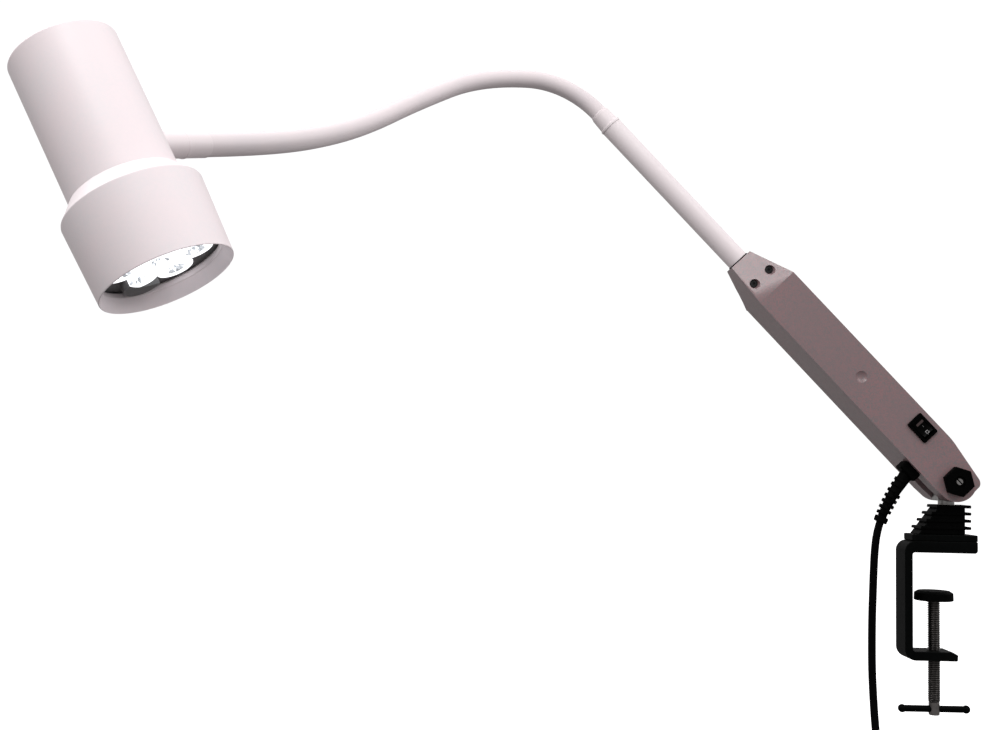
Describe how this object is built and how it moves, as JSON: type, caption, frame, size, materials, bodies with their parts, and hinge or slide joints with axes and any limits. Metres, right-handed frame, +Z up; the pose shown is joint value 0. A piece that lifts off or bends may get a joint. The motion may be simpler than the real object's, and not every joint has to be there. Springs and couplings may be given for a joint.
{
  "type": "examination lamp",
  "caption": "Clamp-mounted examination lamp with a cylindrical LED head on a gooseneck, a rigid tube and a tilting, swivelling arm housing.",
  "frame": {"origin": "on the underside of the clamp's upper jaw, on the base swivel axis", "axes": "+Z up along the swivel axis; the clamp opens towards +X; at rest the arm rises towards -X, in the XZ plane, and the head reaches towards -Y"},
  "size_m": [0.6734, 0.4596, 0.7197],
  "materials": {
    "black_cast": "black powder coat, satin, slightly pebbled",
    "black_steel": "black oxide, satin",
    "black_rubber": "moulded black rubber, matt",
    "bush": "natural acetal",
    "steel": "zinc-plated steel",
    "spindle_steel": "dark oiled steel, rolled thread",
    "spring_steel": "blued spring steel",
    "cord": "matt black flexible sheath",
    "tie": "black moulded strap",
    "black_plastic": "fine-grained black plastic",
    "gloss_black": "gloss black plastic with light printed marks",
    "nickel": "nickel-plated brass",
    "grey_housing": "grey textured powder coat over die-cast aluminium",
    "dark_screws": "blackened steel",
    "bronze": "bronze friction disc",
    "driver_case": "potted plastic case",
    "board_green": "green circuit board",
    "terminal": "natural nylon",
    "cable_grey": "grey sheath",
    "white_head": "satin white powder coat over aluminium",
    "white_tube": "satin white powder coat over steel",
    "white_sleeve": "matt white silicone sleeve",
    "hose": "wound steel hose",
    "sink": "extruded aluminium",
    "board_white": "white solder mask",
    "phosphor": "yellow phosphor",
    "lens": "clear moulded optics",
    "dark_bezel": "dark grey satin plastic"
  },
  "bodies": {
    "clamp": {"clamp_frame": "black_cast", "top_plate": "black_cast", "swivel_socket": "black_rubber", "swivel_bush": "bush", "socket_screws": "steel"},
    "pad": {"pressure_pad": "black_cast"},
    "spindle": {"clamp_spindle": "spindle_steel"},
    "bar": {"tommy_bar": "black_steel"},
    "swivel": {"knuckle_stud": "steel", "stud_clip": "spring_steel", "mains_cord": "cord", "cord_coil": "cord", "cord_tie": "tie", "mains_plug": "black_plastic", "plug_pins": "nickel"},
    "arm": {"front_housing": "grey_housing", "rear_cover": "grey_housing", "nose_screws": "dark_screws", "cover_screws": "dark_screws", "friction_washers": "bronze", "pivot_bolt": "steel", "switch_bezel": "black_plastic", "led_driver": "driver_case", "driver_board": "board_green", "terminal_block": "terminal", "strain_relief": "black_rubber", "tube_saddle": "spring_steel", "tube_gasket": "black_rubber", "arm_tube": "white_tube", "lamp_cable": "cable_grey", "base_ferrule": "white_tube", "neck_core_1": "hose", "neck_sleeve_1": "white_sleeve"},
    "knob": {"hex_knob": "black_plastic"},
    "rocker": {"switch_rocker": "gloss_black"},
    "neck_1": {"neck_core_2": "hose", "neck_sleeve_2": "white_sleeve"},
    "neck_2": {"neck_core_3": "hose", "neck_sleeve_3": "white_sleeve"},
    "neck_3": {"neck_core_4": "hose", "neck_sleeve_4": "white_sleeve"},
    "neck_4": {"neck_core_5": "hose", "neck_sleeve_5": "white_sleeve"},
    "neck_5": {"neck_core_6": "hose", "neck_sleeve_6": "white_sleeve"},
    "head": {"neck_core_7": "hose", "end_collar": "white_head", "collar_nut": "steel", "barrel": "white_head", "heat_sink": "sink", "led_board": "board_white", "led_chips": "phosphor", "lens_cluster": "lens", "bezel_ring": "dark_bezel", "shade": "white_head", "head_screws": "dark_screws"}
  },
  "joints": [
    {"name": "base_swivel", "type": "hinge", "parent": "clamp", "child": "swivel", "pos_m": [0, 0, 0.03], "axis": [0, 0, 1], "range_deg": [-170, 170]},
    {"name": "arm_tilt", "type": "hinge", "parent": "swivel", "child": "arm", "pos_m": [0, 0, 0.059], "axis": [0, 1, 0], "range_deg": [-16, 40], "deforming": ["mains_cord"]},
    {"name": "neck_bend_1", "type": "hinge", "parent": "arm", "child": "neck_1", "pos_m": [-0.32528, -0.00315, 0.38546], "axis": [0.15, -0.9835, -0.1011], "range_deg": [-25, 25], "deforming": ["neck_sleeve_1"]},
    {"name": "neck_bend_2", "type": "hinge", "parent": "neck_1", "child": "neck_2", "pos_m": [-0.39408, -0.0283, 0.38385], "axis": [0.1914, 0.2216, -0.9562], "range_deg": [-25, 25], "deforming": ["neck_sleeve_2"]},
    {"name": "neck_bend_3", "type": "hinge", "parent": "neck_2", "child": "neck_3", "pos_m": [-0.4461, -0.07774, 0.35001], "axis": [0.7903, -0.6086, 0.0702], "range_deg": [-25, 25], "deforming": ["neck_sleeve_3"]},
    {"name": "neck_bend_4", "type": "hinge", "parent": "neck_3", "child": "neck_4", "pos_m": [-0.4788, -0.14094, 0.3138], "axis": [0.3245, 0.3064, -0.8949], "range_deg": [-25, 25], "deforming": ["neck_sleeve_4"]},
    {"name": "neck_bend_5", "type": "hinge", "parent": "neck_4", "child": "neck_5", "pos_m": [-0.50488, -0.21306, 0.28352], "axis": [0.9049, -0.3777, 0.1961], "range_deg": [-25, 25], "deforming": ["neck_sleeve_5"]},
    {"name": "neck_bend_6", "type": "hinge", "parent": "neck_5", "child": "head", "pos_m": [-0.53341, -0.289, 0.25853], "axis": [0.855, -0.4932, 0.1603], "range_deg": [-25, 25], "deforming": ["neck_sleeve_6"]},
    {"name": "knob_turn", "type": "hinge", "parent": "arm", "child": "knob", "pos_m": [0, -0.029, 0.059], "axis": [0, -1, 0], "range_deg": [-180, 180]},
    {"name": "switch_rock", "type": "hinge", "parent": "arm", "child": "rocker", "pos_m": [-0.02852, -0.021, 0.10236], "axis": [0.7193, 0, 0.6947], "range_deg": [0, 14]},
    {"name": "pad_slide", "type": "slide", "parent": "clamp", "child": "pad", "axis": [0, 0, 1], "range_m": [-0.037, 0.03]},
    {"name": "spindle_turn", "type": "hinge", "parent": "pad", "child": "spindle", "pos_m": [-0.0108, 0, -0.08], "axis": [0, 0, 1], "range_deg": [-8881, 7201]},
    {"name": "bar_slide", "type": "slide", "parent": "spindle", "child": "bar", "axis": [1, 0, 0], "range_m": [-0.017, 0.017]}
  ],
  "couplings": [
    {"joint": "spindle_turn", "follows": "pad_slide", "rad_per_m": 4188.8}
  ]
}
